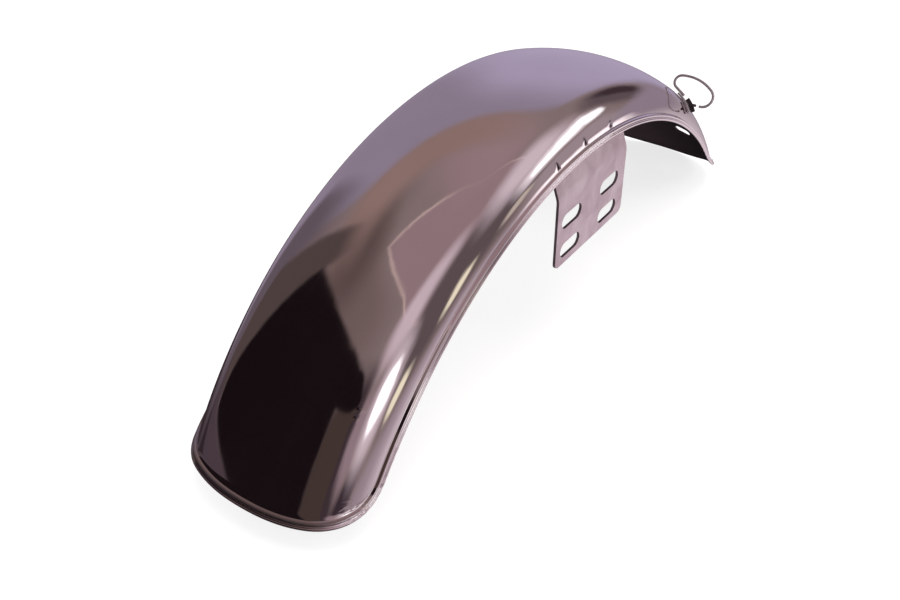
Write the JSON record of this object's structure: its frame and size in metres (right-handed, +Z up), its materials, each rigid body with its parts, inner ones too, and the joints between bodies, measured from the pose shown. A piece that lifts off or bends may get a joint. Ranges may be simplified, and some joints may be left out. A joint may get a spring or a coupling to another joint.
{
  "type": "motorcycle front mudguard",
  "caption": "Chromed steel front mudguard with rounded ends, a stepped and rolled rim, slotted fork plates under the skirt and a wire cable guide on its front shoulder.",
  "frame": {"origin": "middle of the four slots on the outer face of the right fork plate", "axes": "+X forwards along the blade towards the end with the cable guide, +Y from the right plate towards the left one, +Z up; the wheel axle lies 5 mm behind and 239 mm below the origin's height, on the middle plane 70 mm along +Y"},
  "size_m": [0.5698, 0.1469, 0.1797],
  "materials": {
    "blade": "polished chrome plating",
    "plate": "dull zinc plating",
    "guide": "bright plating",
    "stud": "darkened steel"
  },
  "bodies": {
    "root": {"blade": "blade", "plate_right": "plate", "plate_left": "plate", "guide_strip": "guide", "guide_loop": "guide", "guide_stud": "stud"}
  },
  "joints": []
}
